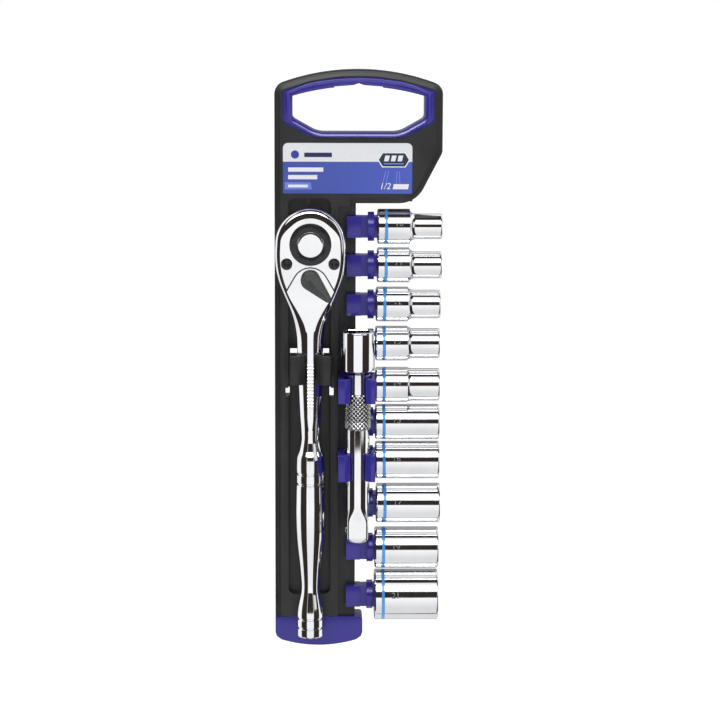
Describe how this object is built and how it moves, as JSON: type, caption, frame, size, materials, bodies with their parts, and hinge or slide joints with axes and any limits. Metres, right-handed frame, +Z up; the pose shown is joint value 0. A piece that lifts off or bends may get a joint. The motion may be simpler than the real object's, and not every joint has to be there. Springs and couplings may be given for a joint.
{
  "type": "socket wrench set on a hanging storage rail",
  "caption": "Socket wrench set on a hanging rail with a carrying grip: reversible ratchet and extension bar in snap clips, metric sockets pushed sideways on square pegs.",
  "frame": {"origin": "seat of the hang notch, in the ceiling of the grip opening, on the plane of the back rim", "axes": "+Z up with the object hanging, +X to the right seen from the front, where the sockets are, +Y into the wall behind it"},
  "size_m": [0.0981, 0.0436, 0.3435],
  "materials": {
    "black_plastic": "fine moulded texture, satin black",
    "blue_plastic": "smooth moulded royal blue",
    "label_print": "printed and laminated label, blue field under a white band",
    "chrome": "polished chrome plate",
    "black_steel": "black oxide, satin",
    "grey_lever": "dark grey coating, satin",
    "plain_steel": "ground steel",
    "spring_steel": "drawn wire",
    "zinc_steel": "zinc plated"
  },
  "bodies": {
    "holder": {"tray": "black_plastic", "grip_ring": "blue_plastic", "label": "label_print", "peg_rail": "blue_plastic", "rail_screws": "zinc_steel", "end_cap": "blue_plastic", "ratchet_clip": "black_plastic", "upper_bar_clip": "blue_plastic", "lower_bar_clip": "blue_plastic"},
    "ratchet": {"ratchet_handle": "chrome", "head_cover": "chrome", "cover_screws": "black_steel"},
    "drive": {"drive_gear": "black_steel", "release_spring": "spring_steel"},
    "drive_ball": {"drive_ball": "plain_steel"},
    "release_button": {"release_button": "chrome"},
    "reversing_lever": {"reversing_lever": "grey_lever", "detent_ball": "plain_steel", "detent_spring": "spring_steel"},
    "pawl": {"pawl": "plain_steel"},
    "extension": {"extension_bar": "chrome", "extension_spring": "spring_steel"},
    "extension_ball": {"extension_ball": "plain_steel"},
    "socket_10mm": {"socket_10mm": "chrome"},
    "socket_11mm": {"socket_11mm": "chrome"},
    "socket_12mm": {"socket_12mm": "chrome"},
    "socket_13mm": {"socket_13mm": "chrome"},
    "socket_14mm": {"socket_14mm": "chrome"},
    "socket_15mm": {"socket_15mm": "chrome"},
    "socket_16mm": {"socket_16mm": "chrome"},
    "socket_17mm": {"socket_17mm": "chrome"},
    "socket_19mm": {"socket_19mm": "chrome"},
    "socket_21mm": {"socket_21mm": "chrome"}
  },
  "joints": [
    {"name": "ratchet_pull", "type": "slide", "parent": "holder", "child": "ratchet", "axis": [0, -1, 0], "range_m": [0, 0.05], "deforming": ["ratchet_clip"]},
    {"name": "drive_spin", "type": "hinge", "parent": "ratchet", "child": "drive", "pos_m": [-0.028, -0.0185, -0.092], "axis": [0, 1, 0], "continuous": true},
    {"name": "button_press", "type": "slide", "parent": "drive", "child": "release_button", "axis": [0, 1, 0], "range_m": [0, 0.0025], "stiffness_N_per_m": 2000, "springref_m": -0.0015, "deforming": ["release_spring"]},
    {"name": "ball_retract", "type": "slide", "parent": "drive", "child": "drive_ball", "axis": [-1, 0, 0], "range_m": [0, 0.001]},
    {"name": "lever_flip", "type": "hinge", "parent": "ratchet", "child": "reversing_lever", "pos_m": [-0.028, -0.0365, -0.1128], "axis": [0, 1, 0], "range_deg": [0, 86]},
    {"name": "pawl_shift", "type": "hinge", "parent": "ratchet", "child": "pawl", "pos_m": [-0.028, -0.0275, -0.092], "axis": [0, 1, 0], "range_deg": [0, 10]},
    {"name": "extension_pull", "type": "slide", "parent": "holder", "child": "extension", "axis": [0, -1, 0], "range_m": [0, 0.05], "deforming": ["upper_bar_clip", "lower_bar_clip"]},
    {"name": "extension_ball_press", "type": "slide", "parent": "extension", "child": "extension_ball", "axis": [1, 0, 0], "range_m": [0, 0.0012], "stiffness_N_per_m": 1500, "springref_m": -0.001, "deforming": ["extension_spring"]},
    {"name": "socket_10mm_pull", "type": "slide", "parent": "holder", "child": "socket_10mm", "axis": [1, 0, 0], "range_m": [0, 0.03]},
    {"name": "socket_11mm_pull", "type": "slide", "parent": "holder", "child": "socket_11mm", "axis": [1, 0, 0], "range_m": [0, 0.03]},
    {"name": "socket_12mm_pull", "type": "slide", "parent": "holder", "child": "socket_12mm", "axis": [1, 0, 0], "range_m": [0, 0.03]},
    {"name": "socket_13mm_pull", "type": "slide", "parent": "holder", "child": "socket_13mm", "axis": [1, 0, 0], "range_m": [0, 0.03]},
    {"name": "socket_14mm_pull", "type": "slide", "parent": "holder", "child": "socket_14mm", "axis": [1, 0, 0], "range_m": [0, 0.03]},
    {"name": "socket_15mm_pull", "type": "slide", "parent": "holder", "child": "socket_15mm", "axis": [1, 0, 0], "range_m": [0, 0.03]},
    {"name": "socket_16mm_pull", "type": "slide", "parent": "holder", "child": "socket_16mm", "axis": [1, 0, 0], "range_m": [0, 0.03]},
    {"name": "socket_17mm_pull", "type": "slide", "parent": "holder", "child": "socket_17mm", "axis": [1, 0, 0], "range_m": [0, 0.03]},
    {"name": "socket_19mm_pull", "type": "slide", "parent": "holder", "child": "socket_19mm", "axis": [1, 0, 0], "range_m": [0, 0.03]},
    {"name": "socket_21mm_pull", "type": "slide", "parent": "holder", "child": "socket_21mm", "axis": [1, 0, 0], "range_m": [0, 0.03]}
  ],
  "couplings": [
    {"joint": "ball_retract", "follows": "button_press", "ratio": 0.4},
    {"joint": "pawl_shift", "follows": "lever_flip", "ratio": 0.11628}
  ]
}
